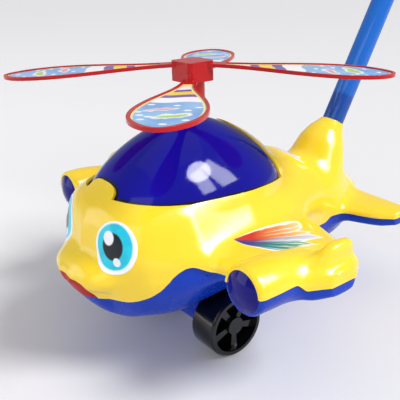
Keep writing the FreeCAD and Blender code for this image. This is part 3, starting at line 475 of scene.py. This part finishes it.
def curve(x, points, column=1):
    """A smooth curve without overshoot through the points' first column and the given one."""
    points = np.asarray(points)
    xs, ys = points[:, 0], points[:, column]
    slopes = np.diff(ys) / np.diff(xs)
    tangents = np.empty(len(xs))
    product = slopes[:-1] * slopes[1:]
    total = np.where(product > 0, slopes[:-1] + slopes[1:], 1)
    tangents[1:-1] = np.where(product > 0, 2 * product / total, 0)
    tangents[0], tangents[-1] = slopes[0], slopes[-1]
    x = np.clip(x, xs[0], xs[-1])
    k = np.clip(np.searchsorted(xs, x) - 1, 0, len(xs) - 2)
    width = np.diff(xs)[k]
    t = (x - xs[k]) / width
    leaving = (2 * t ** 3 - 3 * t ** 2 + 1) * ys[k] + (t ** 3 - 2 * t ** 2 + t) * width * tangents[k]
    arriving = (3 * t ** 2 - 2 * t ** 3) * ys[k + 1] + (t ** 3 - t ** 2) * width * tangents[k + 1]
    return leaving + arriving


def ramp(x, start, end):
    """Zero before the start and one past the end, with a smooth rise between them."""
    t = np.clip((x - start) / (end - start), 0, 1)
    return t * t * (3 - 2 * t)


def join(a, b, fillet):
    """The union of two fields, with a fillet of about that size."""
    h = np.clip(0.5 + 0.5 * (b - a) / fillet, 0, 1)
    return b * (1 - h) + a * h - fillet * h * (1 - h)


def carve(a, b, fillet):
    """Field a with field b cut away."""
    return -join(-a, b, fillet)


def egg(p, middle, radii, fullness=2.0):
    """An ellipsoid, boxier as its fullness grows past 2."""
    q = np.abs((p - np.array(middle)) / np.array(radii))
    return ((q ** fullness).sum(-1) ** (1 / fullness) - 1) * min(radii)


def mirrored(p):
    """The points brought to the port side, where both sides are the same."""
    q = p.copy()
    q[:, 0] = np.abs(q[:, 0])
    return q


def fuselage(p):
    x, y, z = p.T
    half, middle, rise, drop = (curve(y, FUSELAGE, column) for column in (1, 2, 3, 4))
    up = z - middle
    full = np.where(up > 0, curve(y, FULLNESS_ABOVE), curve(y, FULLNESS_BELOW))
    reach = np.where(up > 0, rise, drop)
    q = (np.abs(x / half) ** full + np.abs(up / reach) ** full) ** (1 / full)
    ends = np.maximum(FUSELAGE[0, 0] - y, y - FUSELAGE[-1, 0])
    return np.maximum((q - 1) * np.minimum(half, reach), ends)


UNDERSIDE = 1.35    # how much deeper a wing or tail fin is below its middle than above it


def blade_plate(p, stations, tip):
    """A rounded slab whose chord, height and thickness change along x."""
    x, y, z = p.T
    leading, trailing, middle, thick = (curve(x, stations, column) for column in (1, 2, 3, 4))
    chord = (y - (leading + trailing) / 2) / ((trailing - leading) / 2)
    full = np.where(z > middle, 2.5, 4.0)
    reach = np.where(z > middle, thick, UNDERSIDE * thick)
    q = (np.abs(chord) ** full + np.abs((z - middle) / reach) ** full) ** (1 / full)
    return np.maximum((q - 1) * thick * 0.8, x - tip)


def winglet(q):
    """The upright fin at the wing tip, leaning out and back."""
    lift = q[:, 2] - 76
    moved = q - np.stack([101.5 + 0.30 * lift, 6.0 + 0.22 * lift, np.full(len(q), 77.0)], -1)
    return np.maximum(egg(moved, (0, 0, 0), (5.4, 13.5, 17.0), 2.8), -moved[:, 2] - 2)


def pod(q):
    """The engine pod: round, and tapering behind its rim."""
    behind = q[:, 1] - POD_FRONT
    side = (np.hypot(q[:, 0] - POD_X, q[:, 2] - POD_Z) - curve(behind, POD)) * 0.9
    return np.maximum(side, np.maximum(-behind, behind - POD[-1][0]))


def lens_seat(q):
    """The round recess at the front of a pod, behind its lens."""
    return np.maximum(np.hypot(q[:, 0] - POD_X, q[:, 2] - POD_Z) - 11.3, q[:, 1] - POD_FRONT - 2.4)


def boss(p):
    """The rounded turret that holds the stick."""
    q = p - STICK_BASE
    depth = -(q @ STICK_UP)
    front = np.array((0, STICK_UP[2], -STICK_UP[1]))
    q = q + curve(depth, BOSS, 2)[:, None] * front
    away = np.linalg.norm(q - (q @ STICK_UP)[:, None] * STICK_UP, axis=-1)
    return np.maximum((away - curve(depth, BOSS, 1)) * 0.85, np.maximum(-depth, depth - BOSS[-1][0]))


# The flat cheek that carries an eye: its middle, outward and sideways directions, and the eye's half sizes.
EYE_MIDDLE = np.array((26.0, -72.6, 86.8))
EYE_OUT = np.array((0.309, -0.950, 0.05)) / np.linalg.norm((0.309, -0.950, 0.05))
EYE_ALONG = np.array((0.951, 0.309, 0.0))
EYE_HALF_WIDTH, EYE_HALF_HEIGHT = 13.6, 14.3


def cheeks(q, d):
    """The face planed back beside the bridge of the nose, and filled out beside the eyes."""
    away = (q - EYE_MIDDLE) @ EYE_OUT
    muzzle = 13 * ramp(81 - q[:, 2], 0, 14) * ramp(21 - q[:, 0], 0, 13)
    above = 4 * ramp(q[:, 2], 100, 112)
    d = carve(d, np.maximum(muzzle + above - away, q[:, 1] + 55), 7.0)
    local = q - (EYE_MIDDLE - 20 * EYE_OUT)
    block = np.stack([local @ EYE_ALONG, local @ EYE_OUT, local[:, 2]], -1)
    return join(d, egg(block, (0, 0, 0), (17.5, 19.5, 18.0), 2.6), 13.0)


def body(p):
    """The whole outside: face, muzzle, wings, pods, winglets, tail fins, stick turret and spine."""
    q = mirrored(p)
    d = cheeks(q, fuselage(p))
    d = join(d, egg(q, (9.0, -78.5, 67.0), (16.0, 13.0, 9.0)), 8.0)
    d = join(d, blade_plate(q, WING, 114.0), 13.0)
    d = join(d, pod(q), 5.0)
    d = join(d, winglet(q), 6.0)
    d = join(d, blade_plate(q, TAIL_FIN, 61.5), 8.0)
    d = join(d, boss(p), 7.0)
    return join(d, egg(p, (0, 44, 84), (25, 36, 28)), 12.0)


def canopy(p):
    """The dome: fuller in plan than an ellipse, with flattened shoulders."""
    height = CANOPY_TOP - CANOPY_BASE
    radii = np.array((CANOPY_HALF_WIDTH, CANOPY_HALF_LENGTH, height))
    x, y, z = np.abs((p - np.array((0, CANOPY_Y, CANOPY_BASE))) / radii).T
    plan, lift = 2.24, 1.55
    return (((x ** plan + y ** plan) ** (lift / plan) + z ** lift) ** (1 / lift) - 1) * 43


def seam(p):
    """Height above the line between the shells."""
    x, y, z = np.abs(p[:, 0]), p[:, 1], p[:, 2]
    line = curve(y, SEAM)
    line = line + (WING_SEAM_Z - line) * ramp(x, 53, 62) * ramp(85 - y, 0, 10)
    line = line + (POD_SEAM_Z - line) * ramp(x, 75, 80) * ramp(-y, 13, 20)
    line = line + (FIN_SEAM_Z - line) * ramp(x, 14, 22) * ramp(y, 90, 98)
    return z - line


def bare(p):
    """Distance beyond the collar's edge: positive where the dome is in the open."""
    x, y, z = p.T
    side = np.minimum(z - curve(y, CANOPY_EDGE), 0.85 * (curve(z, SPINE_EDGE) - y))
    arch = (np.abs(x / 13.5) ** 2.6 + (np.maximum(z - 107, 0) / 8.2) ** 2.6) ** (1 / 2.6)
    return np.minimum(side, np.where(y < -35, (arch - 1) * 8, 99.0))


def upper_skin(p):
    """The body with a collar that hugs the dome up to the collar's edge."""
    dome = canopy(p)
    cleared = np.maximum(dome - 14, 0.3 * np.maximum(dome, 0) - bare(p))
    collar = np.maximum(dome - 0.9, 88 - p[:, 2])
    return join(carve(body(p), cleared, 2.0), collar, 3.0)


def lower_skin(p):
    """The belly: set in a little, with wheel wells, the gear housing and the tail roller's fork."""
    x, y, z = np.abs(p[:, 0]), p[:, 1], p[:, 2]
    around = np.hypot(y - AXLE_Y, z - AXLE_Z)
    chin = 1.1 * ramp(-y, 80, 88) * ramp(24 - x, 0, 5)
    d = carve(body(p) + 0.45 + chin, np.maximum(around - 23.0, 26.5 - x), 1.2)
    trough = np.where(z > AXLE_Z, np.abs(y - AXLE_Y), around) - 11.0
    d = join(d, np.maximum(np.maximum(trough, x - 25.5), z - 50), 1.5)
    d = join(d, np.maximum(np.hypot(x, y) - 7.2, np.maximum(28.4 - z, z - 50)), 1.2)
    reach = np.hypot(y - TAIL_Y, np.minimum(z - TAIL_Z, 0)) - 6.0
    fork = np.maximum(np.abs(x - 8.2) - 1.4, np.maximum(reach, z - 50))
    return join(d, fork, 1.2)


MOUTH_HALF_WIDTH = 16.0
FACE_BACK_Y = -60.0


def mouth_top(x):
    """Height of the upper lip's edge."""
    return 67.8 - 2.5 * (x / MOUTH_HALF_WIDTH) ** 2


def above_mouth(p):
    """Positive outside the mouth's opening in the upper shell."""
    outside = np.maximum(np.abs(p[:, 0]) - MOUTH_HALF_WIDTH, p[:, 2] - mouth_top(p[:, 0]))
    return np.maximum(outside, p[:, 1] - FACE_BACK_Y)


def upper_part(p):
    """Positive where the upper shell is."""
    return seam(p) - GAP


def lower_part(p):
    """Positive where the lower shell is: below the seam, and up to the lips in front."""
    chin = np.minimum(MOUTH_HALF_WIDTH - 0.3 - np.abs(p[:, 0]), 57.4 - p[:, 2])
    chin = np.minimum(chin, FACE_BACK_Y - p[:, 1])
    return np.maximum(-seam(p) - GAP, chin)


# ---------------------------------------------------------------- meshes from fields

def gradient(field, p, step=0.05):
    """The field's slope at the points."""
    return np.stack([(field(p + axis) - field(p - axis)) / (2 * step) for axis in np.eye(3) * step], -1)


def settle(field, p, rounds=3):
    """Points moved onto the field's surface."""
    for _ in range(rounds):
        slope = gradient(field, p)
        move = slope * (field(p) / np.maximum((slope ** 2).sum(-1), 0.05))[:, None]
        p = p - np.clip(move, -1, 1)
    return p


def net(field, low, high, cell):
    """A mesh of quads over the field's surface inside a box: one vertex in each cell that it crosses."""
    axes = [np.arange(a, b + cell, cell) for a, b in zip(low, high)]
    grid = np.stack(np.meshgrid(*axes, indexing="ij"), -1)
    shape = grid.shape[:3]
    points = grid.reshape(-1, 3)
    values = np.concatenate([field(part) for part in np.array_split(points, 24)]).reshape(shape)
    inside = values < 0
    corners = [np.array((i, j, k)) for i in (0, 1) for j in (0, 1) for k in (0, 1)]
    span = np.array(shape) - 1
    count = sum(inside[tuple(slice(o, o + n) for o, n in zip(c, span))].astype(int) for c in corners)
    crossed = (count > 0) & (count < 8)
    index = np.full(crossed.shape, -1)
    index[crossed] = np.arange(crossed.sum())
    cells = np.argwhere(crossed)
    total, hits = np.zeros((len(cells), 3)), np.zeros(len(cells))
    for start in corners:
        for axis in range(3):
            if start[axis]:
                continue
            end = start + np.eye(3, dtype=int)[axis]
            a, b = values[tuple((cells + start).T)], values[tuple((cells + end).T)]
            change = (a < 0) != (b < 0)
            share = np.where(change, a / np.where(change, a - b, 1), 0)
            total += change[:, None] * (start + share[:, None] * (end - start))
            hits += change
    vertices = np.array(low) + cell * (cells + total / hits[:, None])
    quads = []
    for axis in range(3):
        near = np.take(inside, range(shape[axis] - 1), axis)
        far = np.take(inside, range(1, shape[axis]), axis)
        edges = np.argwhere(near != far)
        u, v = (axis + 1) % 3, (axis + 2) % 3
        usable = (edges[:, u] > 0) & (edges[:, v] > 0) & (edges[:, u] < span[u]) & (edges[:, v] < span[v])
        edges = edges[usable]
        step_u, step_v = np.eye(3, dtype=int)[u], np.eye(3, dtype=int)[v]
        ring = [edges - step_u - step_v, edges - step_v, edges, edges - step_u]
        quad = np.stack([index[tuple(corner.T)] for corner in ring], 1)
        backwards = ~near[tuple(edges.T)]
        quad[backwards] = quad[backwards, ::-1]
        quads.append(quad)
    return vertices, np.concatenate(quads)


def triangles(quads):
    """Each quad as two triangles."""
    return np.concatenate([quads[:, [0, 1, 2]], quads[:, [0, 2, 3]]])


def trimmed(p, faces, field, wanted):
    """The part of a triangle mesh where wanted() is positive, cut along its zero line."""
    value = wanted(p)
    near = np.abs(value) < 0.3 * CELL
    slope = gradient(wanted, p[near])
    moved = p[near] - np.clip(slope * (value[near] / np.maximum((slope ** 2).sum(-1), 0.2))[:, None], -1, 1)
    p = p.copy()
    p[near] = settle(field, moved, 1)
    value = wanted(p)
    value[np.abs(value) < 0.02] = 0
    held = (value >= 0)[faces]
    whole = faces[held.all(1)]
    pieces, extra, known = [whole], [], {}

    def cut_point(a, b):
        key = (min(a, b), max(a, b))
        if key not in known:
            share = value[a] / (value[a] - value[b])
            known[key] = len(p) + len(extra)
            extra.append(p[a] + share * (p[b] - p[a]))
        return known[key]

    made = []
    split = ~held.all(1) & held.any(1)
    for face, inside in zip(faces[split], held[split]):
        odd = int(np.argmax(inside)) if inside.sum() == 1 else int(np.argmin(inside))
        a, b, c = (int(face[(odd + k) % 3]) for k in range(3))
        if inside.sum() == 1:
            made.append((a, cut_point(a, b), cut_point(a, c)))
        else:
            first, last = cut_point(a, b), cut_point(a, c)
            made += [(first, b, c), (first, c, last)]
    if made:
        pieces.append(np.array(made))
        p = np.concatenate([p, np.array(extra).reshape(-1, 3)])
    faces = np.concatenate(pieces)
    used, renumbered = np.unique(faces, return_inverse=True)
    return p[used], renumbered.reshape(faces.shape)


SHARP_ANGLE = math.radians(40)


def thickened(p, faces, field, depth):
    """A closed solid: the skin, a copy pushed inwards, and a rim along its open edges."""
    slope = gradient(field, p)
    slope /= np.maximum(np.linalg.norm(slope, axis=1), 1e-6)[:, None]
    ends = np.concatenate([faces[:, [0, 1]], faces[:, [1, 2]], faces[:, [2, 0]]])
    codes = ends[:, 0].astype(np.int64) * len(p) + ends[:, 1]
    back_codes = ends[:, 1].astype(np.int64) * len(p) + ends[:, 0]
    open_ends = ends[~np.isin(codes, back_codes)]
    rim = np.stack([open_ends[:, 1], open_ends[:, 0], open_ends[:, 0] + len(p), open_ends[:, 1] + len(p)], 1)
    solid = np.concatenate([faces, faces[:, ::-1] + len(p), rim[:, [0, 1, 2]], rim[:, [0, 2, 3]]])
    return np.concatenate([p, p - depth * slope]), solid


def add_piece(name, p, faces, material, body, uv=None):
    """A mesh object from points in mm, riding on a CAD body."""
    mesh = bpy.data.meshes.new(name)
    mesh.from_pydata((np.asarray(p) * MM).tolist(), [], np.asarray(faces).tolist())
    if uv is not None:
        layer = mesh.uv_layers.new(name="UVMap")
        corners = np.empty(len(mesh.loops), int)
        mesh.loops.foreach_get("vertex_index", corners)
        layer.data.foreach_set("uv", np.asarray(uv)[corners].astype(np.float32).ravel())
    mesh.validate()
    piece = bpy.data.objects.new(name, mesh)
    bpy.context.scene.collection.objects.link(piece)
    for polygon in mesh.polygons:
        polygon.use_smooth = True
    mesh.set_sharp_from_angle(angle=SHARP_ANGLE)
    mesh.materials.append(material.material)
    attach(piece, body)
    return piece


def merged(p, faces, distance=0.03):
    """Points closer than the distance joined into one, and the faces that vanish dropped."""
    keys = np.round(p / distance).astype(np.int64)
    _, first, same = np.unique(keys, axis=0, return_index=True, return_inverse=True)
    faces = same.reshape(-1)[faces]
    good = (faces[:, 0] != faces[:, 1]) & (faces[:, 1] != faces[:, 2]) & (faces[:, 2] != faces[:, 0])
    return p[first], faces[good]


def moulded_skin(name, field, box, cuts, depth, material):
    """A shell of even thickness over the part of a field's surface that the cuts leave."""
    p, quads = net(field, *box, CELL)
    p, faces = settle(field, p), triangles(quads)
    for wanted in cuts:
        p, faces = trimmed(p, faces, field, wanted)
    p, faces = merged(p, faces)
    p, faces = thickened(p, faces, field, depth)
    return add_piece(name, p, faces, material, "airframe")


# The last wall is the thickness of the black strip that is painted shadow in the gap around the dome.
SHELL_WALL, DOME_WALL, LIPS_WALL, GAP_SHADOW_WALL = 1.9, 1.6, 1.6, 0.8
# Boxes in which the meshes are made, in mm.
UPPER_BOX = ((-117.0, -100.0, 20.0), (117.5, 152.0, 146.0))
LOWER_BOX = ((-117.0, -100.0, 0.0), (117.5, 152.0, 84.0))
LIPS_BOX = ((-24.0, -100.0, 52.0), (24.0, -66.0, 76.0))
DOME_BOX = ((-48.0, -76.0, 86.0), (48.5, 62.0, 148.0))


def make_shells(paints):
    under_dome = lambda p: np.maximum(np.maximum(canopy(p) - 2.4, -bare(p)), 90 - p[:, 2])
    inner = lambda p: np.maximum(canopy(p) + 3.0, 90 - p[:, 2])
    seat = lambda p: lens_seat(mirrored(p))
    socket = lambda p: np.linalg.norm(np.cross(p - STICK_BASE, STICK_UP), axis=-1) - 7.75
    socket_out = lambda p: np.maximum(socket(p), -((p - STICK_BASE) @ STICK_UP) - 12)
    upper = moulded_skin("upper_shell_skin", upper_skin, UPPER_BOX,
                         [upper_part, above_mouth, inner, under_dome, seat, socket_out], SHELL_WALL,
                         paints["yellow"])
    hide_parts("upper_shell")
    lower = moulded_skin("lower_shell_skin", lower_skin, LOWER_BOX, [lower_part, seat], SHELL_WALL,
                         paints["blue"])
    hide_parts("lower_shell")


def make_lips(paints):
    lip_field = lambda p: np.minimum(body(p) + 0.2, egg(p, (0.0, -81.0, 61.8), (17.0, 10.2, 6.4)))
    lip_sides = lambda p: np.minimum(MOUTH_HALF_WIDTH + 0.8 - np.abs(p[:, 0]), FACE_BACK_Y - p[:, 1])
    lip_edges = lambda p: np.minimum(mouth_top(p[:, 0]) + 1.0 - p[:, 2], p[:, 2] - 55.4)
    lip_area = lambda p: np.minimum(lip_sides(p), lip_edges(p))
    lips = moulded_skin("mouth_lips_skin", lip_field, LIPS_BOX, [lip_area], LIPS_WALL, paints["lips"])
    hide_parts("mouth_lips")


def make_canopy(paints):
    """The dome, and a black strip in the gap between it and the collar: painted shadow of that gap."""
    uncovered = lambda p: bare(p) - 0.45
    mast_hole = lambda p: np.hypot(p[:, 0], p[:, 1]) - 3.2
    dome = moulded_skin("canopy_dome", canopy, DOME_BOX, [uncovered, mast_hole], DOME_WALL,
                        paints["canopy"])
    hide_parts("canopy")
    # A black band in the gap between the dome and the collar: painted shadow, not a real part.
    strip = lambda p: np.minimum(bare(p) + 1.5, 1.6 - bare(p))
    sunk_dome = lambda p: canopy(p) + 0.45
    gap_shadow_strip = moulded_skin("canopy_gap_shadow", sunk_dome, DOME_BOX, [strip], GAP_SHADOW_WALL, paints["black"])


# ---------------------------------------------------------------- stickers

def dropped(points, field, direction, reach=40):
    """Points slid along a direction until they meet the field's surface."""
    points = np.array(points, float)
    direction = np.array(direction) / np.linalg.norm(direction)
    travelled = np.zeros(len(points))
    for _ in range(60):
        travelled += np.clip(field(points + travelled[:, None] * direction) * 0.7, -2, 2)
        travelled = np.clip(travelled, -reach, reach)
    return points + travelled[:, None] * direction


def polar_faces(rings, spokes, closed):
    """Triangles of a disc, or of a fan that isn't closed, over rings of points."""
    faces = []
    for ring in range(rings - 1):
        for spoke in range(spokes if closed else spokes - 1):
            a, b = ring * spokes + spoke, ring * spokes + (spoke + 1) % spokes
            faces.append((a, a + spokes, b + spokes))
            faces.append((a, b + spokes, b))
    return np.array(faces)


def sticker(name, p, faces, uv, material, lift=0.22):
    """A thin printed film on the upper shell."""
    slope = gradient(upper_skin, p)
    slope /= np.linalg.norm(slope, axis=1)[:, None]
    p = p + lift * slope
    first, second, third = (p[faces[:, corner]] for corner in range(3))
    facing = np.cross(second - first, third - first)
    if np.mean(np.einsum("ij,ij->i", facing, slope[faces[:, 0]])) < 0:
        faces = faces[:, ::-1]
    solid, closed = thickened(p, faces, upper_skin, lift * 1.6)
    piece = add_piece(name, solid, closed, material, "airframe", uv=np.concatenate([uv, uv]))


def make_eyes(paints):
    rings, spokes = 22, 72
    for side, label in ((1, "eye_sticker_port"), (-1, "eye_sticker_starboard")):
        flip = np.array((side, 1, 1))
        middle, outward = EYE_MIDDLE * flip, EYE_OUT * flip
        across = np.cross(outward, (0, 0, 1.0))
        across /= -np.linalg.norm(across)
        upward = np.cross(outward, across)
        reach, angle = np.meshgrid(np.linspace(0.001, 1, rings), np.arange(spokes) / spokes * 2 * math.pi,
                                   indexing="ij")
        u, v = (reach * np.cos(angle)).ravel(), (reach * np.sin(angle)).ravel()
        flat = middle + 14 * outward + np.outer(u, EYE_HALF_WIDTH * across)
        flat = flat + np.outer(v, EYE_HALF_HEIGHT * upward)
        p = dropped(flat, upper_skin, -outward)
        uv = np.stack([u * 0.5 + 0.5, v * 0.5 + 0.5], -1)
        sticker(label, p, polar_faces(rings, spokes, True), uv, paints["eye"])


def fan_sticker(name, tip, heading, outline, material, mirror=1):
    """A sticker that opens like a fan from its tip: outline gives angle in degrees and reach in mm."""
    rings, spokes = 40, 90
    outline = np.array(outline)
    angles = np.linspace(outline[0, 0], outline[-1, 0], spokes)
    share, angle = np.meshgrid(np.linspace(0.01, 1, rings), angles, indexing="ij")
    distance = share * np.interp(angle, outline[:, 0], outline[:, 1])
    bearing = np.radians(heading + angle)
    flat = np.stack([tip[0] + distance * np.sin(bearing), tip[1] + distance * np.cos(bearing),
                     np.full_like(distance, 125.0)], -1).reshape(-1, 3)
    flat[:, 0] *= mirror
    p = dropped(flat, upper_skin, (0, 0, -1), 80)
    fan = (angle - angles[0]) / (angles[-1] - angles[0])
    uv = np.stack([share.ravel(), fan.ravel()], -1)
    sticker(name, p, polar_faces(rings, spokes, False), uv, material)


FLAME = ((-29, 44), (-27, 49), (-22, 48), (-16, 45), (-12, 40), (-8, 47), (-5, 44), (1, 51), (5, 43),
         (9, 38), (14, 46), (18, 36), (24, 42), (28, 33), (36, 37))
SPINE_FLASH = ((-30, 17), (-20, 22), (-12, 19), (0, 25), (12, 20), (20, 24), (30, 17))


def make_stickers(paints):
    make_eyes(paints)
    for side, label in ((1, "flame_sticker_port"), (-1, "flame_sticker_starboard")):
        fan_sticker(label, (56.3, -17.6), 28.7, FLAME, paints["flame"], side)
    fan_sticker("spine_sticker", (2.0, 62.0), 12.0, SPINE_FLASH, paints["spine"])


# ---------------------------------------------------------------- pieces kept from the frame

FINISHES = {
    "red": ("rotor_lower", "rotor_upper"),
    "lens": ("engine_lens_port", "engine_lens_starboard"),
    "black": ("wheel_port", "wheel_starboard", "tail_wheel"),
    "tube": ("stick_lower", "stick_upper"),
    "plug": ("stick_base_plug", "stick_joint_plug"),
    "yellow": ("stick_grip",),
    "gear": ("axle_gear", "lay_gear", "rotor_gear", "gear_frame"),
    "steel": ("axle", "gear_pin", "gear_frame_screws", "shell_screws", "tail_axle", "rotor_shaft"),
    "label_lower": ("rotor_labels_lower",),
    "label_upper": ("rotor_labels_upper",),
}
ROUNDED = {"wheel_port": 0.5, "wheel_starboard": 0.5, "tail_wheel": 0.5, "rotor_lower": 0.45,
           "rotor_upper": 0.45, "stick_grip": 1.0, "stick_lower": 0.25, "stick_upper": 0.25}


def finish_nodes(paints):
    for finish, names in FINISHES.items():
        for name in names:
            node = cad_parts[name]
            node.data.materials.clear()
            node.data.materials.append(paints[finish].material)
    for name, radius in ROUNDED.items():
        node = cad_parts[name]
        weld = node.modifiers.new("weld", "WELD")
        weld.merge_threshold = 0.000005
        bevel = node.modifiers.new("rounded_edges", "BEVEL")
        bevel.width, bevel.segments = radius * MM, 3
        bevel.limit_method, bevel.angle_limit = "ANGLE", SHARP_ANGLE
        bevel.harden_normals = True


make_camera()
make_light()
make_floor()
PAINTS = make_materials()
make_shells(PAINTS)
make_lips(PAINTS)
make_canopy(PAINTS)
make_stickers(PAINTS)
finish_nodes(PAINTS)
